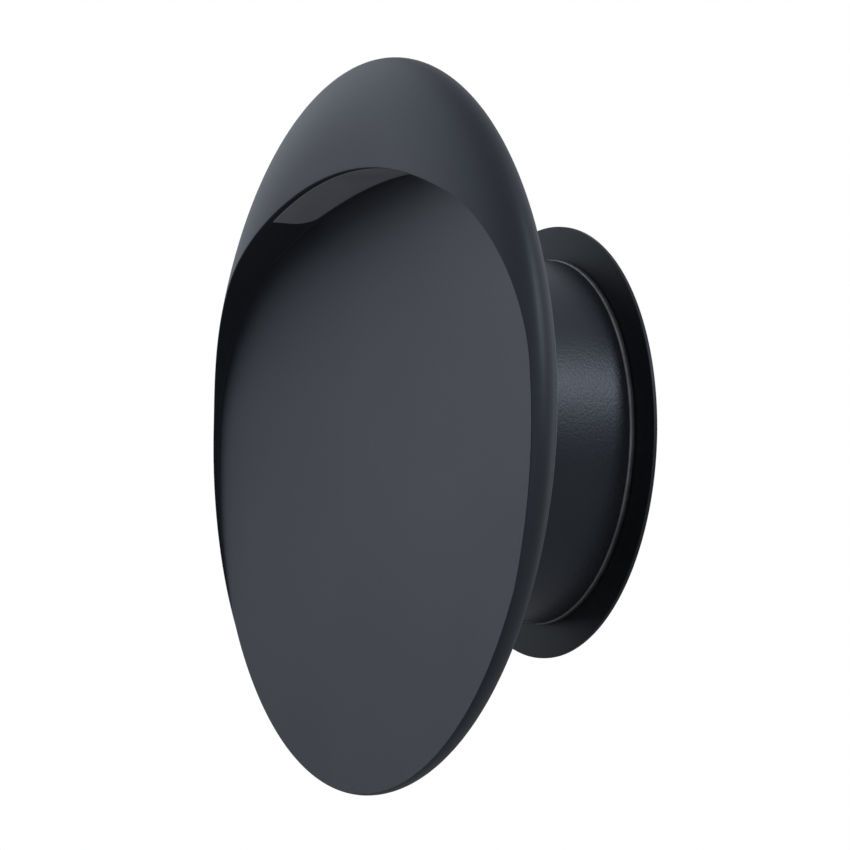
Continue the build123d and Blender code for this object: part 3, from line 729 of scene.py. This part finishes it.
def makeNeck():
    # The outside is a rounded edge and a straight side turned about the y axis, with a block of
    # cells left out at each screw. The patch and the countersink that fill it are laid out on
    # the unrolled side, as (radius x angle, y), and are then rolled up.
    v, around = neck, neck["around"]
    radius, front = v["radius"], v["front"] + v["frontRound"]
    arc = bezier((radius - v["frontRound"], v["front"]), (radius, v["front"]), (radius, front))
    side = np.linspace(front, v["back"], v["rows"]["side"])[1:]
    profile = np.vstack([arc, np.stack([np.full(len(side), radius), side], -1)])
    outerY = profile[:, 1]
    angle = np.linspace(0, 2 * np.pi, around, endpoint=False)
    drop = np.zeros((len(outerY) - 1, around), bool)
    ahead, behind, wide = v["block"]
    i0 = int(np.searchsorted(outerY, v["screwBack"] - ahead)) - 1
    i1 = min(int(np.searchsorted(outerY, v["screwBack"] + behind)), len(outerY) - 1)
    reach = int(round(math.degrees(wide / radius) / 360 * around))
    unrolled = np.stack([radius * angle[None, :] + 0 * outerY[:, None],
                         outerY[:, None] + 0 * angle], -1)
    rim, floor = v["sinkDepth"]
    cone = np.array([v["sinkRadius"], v["sinkFloor"], 0])[:, None]
    down = np.array([rim, floor, floor])[:, None]
    grids = []
    for degrees in v["screwAngles"]:
        middle = int(round(degrees / 360 * around))
        drop[i0:i1, middle - reach:middle + reach] = True
        loop = blockLoop(unrolled, i0, i1, middle - reach, middle + reach)
        centre = np.array([radius * math.radians(degrees), v["screwBack"]])
        patch, turn = holePatch(loop, centre, v["sinkRadius"] + v["sinkRim"], v["rows"]["patch"])
        ring = np.stack([centre[0] + cone * np.cos(turn), centre[1] + cone * np.sin(turn)], -1)
        spread = np.concatenate([patch, ring])
        sunk = radius - np.concatenate([np.zeros(patch.shape[:2]), down + 0 * turn])
        swing = spread[..., 0] / radius
        grids.append((np.stack([sunk * np.cos(swing), spread[..., 1], sunk * np.sin(swing)], -1),
                      None))
    inner, floorY = v["innerRadius"], v["frontInner"]
    leg, bow = v["innerCorner"]
    inside = turned([
        (radius, v["back"]), (inner, v["back"]), (inner, floorY + leg),
        (inner - bow, floorY + bow), (inner - leg, floorY),
        *[(ring, floorY) for ring in v["innerRings"]],
        (v["boreRadius"], floorY), (v["boreRadius"], v["front"]), (v["outerRing"], v["front"]),
        (radius - v["frontRound"], v["front"])], around)
    grids += [(turned(profile, around), drop), (inside, None)]
    makeMesh("neckDrum", grids, v["sharpAngle"], coatNeck, "wall_body",
             "neck_drum")


makeNeck()


# Turned pieces at the wall

wallFlange = {
    "radius": 66.2,
    "front": -2.2,
    "back": -1.0,
    "edgeRound": 0.25,
    "collarOuter": 53.3,
    "collarInner": 52.2,
    "collarEnd": -14.0,
    "sharpAngle": 35.0,
    "around": 360,
}
seamRing = {
    "outer": 56.0,
    "inner": 53.5,
    "front": -4.4,
    "back": -2.2,
    "outerRound": 0.95,
    "innerRound": 0.0,
    "sharpAngle": 35.0,
    "around": 360,
}
wallGasket = {
    "outer": 64.5,
    "inner": 55.0,
    "front": -1.0,
    "back": 0.0,
    "outerRound": 0.25,
    "innerRound": 0.25,
    "sharpAngle": 35.0,
    "around": 240,
}


def makeTurned(name, corners, v, material, node):
    # A rounded profile turned about the y axis.
    points = turned(roundedProfile(corners), v["around"])
    makeMesh(name, [(points, None)], v["sharpAngle"], material, "wall_body", node)


def makeFlange():
    # Six corners: a thin plate, with a collar that stands forward inside the neck.
    v = wallFlange
    makeTurned("wallFlange", [
        (v["collarInner"], v["back"], 0), (v["collarInner"], v["collarEnd"], 0),
        (v["collarOuter"], v["collarEnd"], 0), (v["collarOuter"], v["front"], 0),
        (v["radius"], v["front"], v["edgeRound"]), (v["radius"], v["back"], v["edgeRound"]),
    ], v, coatFlange, "wall_flange")


def makeRing(name, v, finish, node):
    # Four corners, with one rounding inside and one outside.
    makeTurned(name, [
        (v["inner"], v["back"], v["innerRound"]), (v["inner"], v["front"], v["innerRound"]),
        (v["outer"], v["front"], v["outerRound"]), (v["outer"], v["back"], v["outerRound"]),
    ], v, finishes[finish], node)


makeFlange()
makeRing("seamRing", seamRing, "ringMetal", "seam_ring")
makeRing("wallGasket", wallGasket, "rubberBlack", "wall_gasket")
print("pieces made")


# Camera at the photograph's angle

camera = {
    "azimuth": 63.29,                # degrees to the right of the front
    "elevation": -5.64,
    "distance": 1.0152,              # metres from the head's centre
    "lens": 144.0,
    "sensor": 36.0,
    "clip": (0.05, 50),              # metres
    "headAt": (355.88, 425.12),      # pixel of the head's centre in the 850 pixel picture
    "picture": 850,
}


def makeCamera():
    # It looks along the direction, and is moved sideways until the head's centre is in its pixel.
    az, el = math.radians(camera["azimuth"]), math.radians(camera["elevation"])
    back = Vector((math.sin(az) * math.cos(el), -math.cos(az) * math.cos(el), math.sin(el)))
    right = Vector((math.cos(az), math.sin(az), 0))
    up = back.cross(right)
    focal = camera["lens"] / camera["sensor"] * camera["picture"]
    half = camera["picture"] / 2
    x = (camera["headAt"][0] - half) / focal * camera["distance"]
    y = (half - camera["headAt"][1]) / focal * camera["distance"]
    place = Vector(headPlace * mm) - right * x - up * y + back * camera["distance"]
    data = bpy.data.cameras.new("camera")
    data.lens, data.sensor_width = camera["lens"], camera["sensor"]
    data.clip_start, data.clip_end = camera["clip"]
    eye = bpy.data.objects.new("camera", data)
    eye.matrix_world = Matrix((
        (right.x, up.x, back.x, place.x), (right.y, up.y, back.y, place.y),
        (right.z, up.z, back.z, place.z), (0, 0, 0, 1)))
    bpy.context.scene.collection.objects.link(eye)
    bpy.context.scene.camera = eye


makeCamera()


# Light: a pale room and five soft boxes, placed by their direction from the head's centre

lights = {
    "room": 0.2,
    "roomColour": (0.88, 0.94, 1.0),
    "reflected": 0.7,
    "boxes": [
        # name, direction (x, y, z), distance, width, height, watts, colour
        ("boxBehind", (0.775, 0.444, 0.449), 1.4, 0.3, 0.42, 5.4, (0.98, 0.99, 1.0)),
        ("boxLeft", (-0.75, -0.22, 0.6), 1.6, 0.9, 0.9, 2.1, (0.85, 0.91, 1.0)),
        ("boxSide", (-0.96, -0.22, 0.18), 1.6, 0.8, 0.8, 1.2, (0.85, 0.91, 1.0)),
        ("boxFront", (-0.5, -0.7, 0.5), 1.6, 1.1, 1.1, 1.6, (0.85, 0.91, 1.0)),
        ("boxLow", (0.75, -0.3, -0.22), 1.4, 0.8, 0.4, 1.5, (0.9, 0.95, 1.0)),
    ],
}


def makeLight(name, direction, distance, width, height, watts, colour):
    data = bpy.data.lights.new(name, "AREA")
    data.shape = "RECTANGLE"
    data.size, data.size_y, data.energy = width, height, watts
    data.color = colour
    lamp = bpy.data.objects.new(name, data)
    toward = Vector(direction).normalized()
    lamp.location = Vector(headPlace * mm) + toward * distance
    lamp.rotation_euler = toward.to_track_quat("Z", "Y").to_euler()
    bpy.context.scene.collection.objects.link(lamp)


for box in lights["boxes"]:
    makeLight(*box)


def makeRoom():
    # The world is white to the camera, and has its own levels for reflections and for the rest.
    world = bpy.data.worlds.new("room")
    bpy.context.scene.world = world
    m = Shading(world)
    seen, glossy = m.ray("Is Camera Ray"), m.ray("Is Glossy Ray")
    room, reflected = lights["room"], lights["reflected"]
    shade = m.node("ShaderNodeBackground", {}, {
        "Color": m.mixColour(seen, lights["roomColour"], (1, 1, 1)),
        "Strength": seen * (1 - room) + glossy * (reflected - room) + room})
    m.node("ShaderNodeOutputWorld", {}, {"Surface": shade})


floorPlane = {
    "drop": 0.45,                    # metres below the wall light's axis
    "size": 12.0,
    "colour": 0.86,
    "glow": 1.18,                    # what the camera sees is mostly this, so the floor is white
    "glowShare": 0.8,
}


def makeFloor():
    # A pale floor that shows white, a little shaded where the light keeps its shadow.
    m = Shading(bpy.data.materials.new("paleFloor"))
    grey = floorPlane["colour"]
    diffuse = m.node("ShaderNodeBsdfDiffuse", {}, {"Color": (grey, grey, grey, 1)})
    glow = m.node("ShaderNodeEmission", {}, {
        "Color": (1, 1, 1, 1), "Strength": floorPlane["glow"]})
    mixed = m.node("ShaderNodeMixShader", {}, {
        0: m.ray("Is Camera Ray") * floorPlane["glowShare"], 1: diffuse, 2: glow})
    m.node("ShaderNodeOutputMaterial", {}, {"Surface": mixed})
    half, drop = floorPlane["size"] / 2, -floorPlane["drop"]
    mesh = bpy.data.meshes.new("floor")
    mesh.from_pydata([(-half, -half, drop), (half, -half, drop), (half, half, drop),
                      (-half, half, drop)], [], [(0, 1, 2, 3)])
    mesh.materials.append(m.owner)
    floor = bpy.data.objects.new("floor", mesh)
    bpy.context.scene.collection.objects.link(floor)


makeRoom()
makeFloor()
bpy.context.scene.view_settings.view_transform = "Standard"
print("light and camera set")
